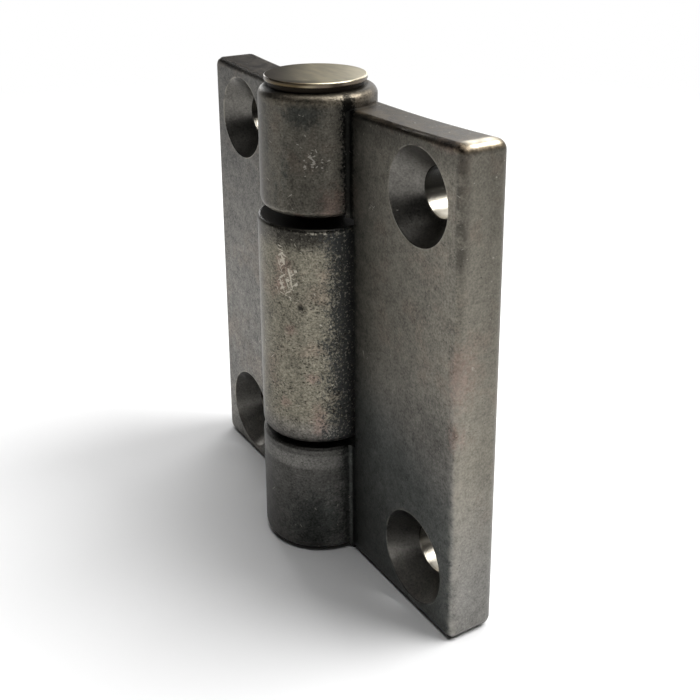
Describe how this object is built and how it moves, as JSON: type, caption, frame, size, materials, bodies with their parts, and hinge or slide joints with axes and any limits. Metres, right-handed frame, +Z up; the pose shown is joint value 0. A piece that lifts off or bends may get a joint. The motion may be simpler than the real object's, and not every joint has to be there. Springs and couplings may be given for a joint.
{
  "type": "butt hinge",
  "caption": "Cast cabinet hinge: two thick leaves with countersunk screw holes, turning on a headed pin through interlocked round knuckles.",
  "frame": {"origin": "middle of the frame leaf's two screw holes, on its mounting face", "axes": "+Z up along the pin towards its head, +Y out of the mounting face into what the leaf is screwed to, +X from the pin towards the frame leaf's outer edge"},
  "size_m": [0.05, 0.0118, 0.0527],
  "materials": {
    "cast_steel": "blasted satin stainless casting, dark grey",
    "pin_steel": "turned and satin polished"
  },
  "bodies": {
    "frame_side": {"frame_leaf": "cast_steel", "hinge_pin": "pin_steel"},
    "door_side": {"door_leaf": "cast_steel"}
  },
  "joints": [
    {"name": "hinge_turn", "type": "hinge", "parent": "frame_side", "child": "door_side", "pos_m": [-0.0182, -0.0054, 0], "axis": [0, 0, 1], "range_deg": [-90, 180]}
  ]
}
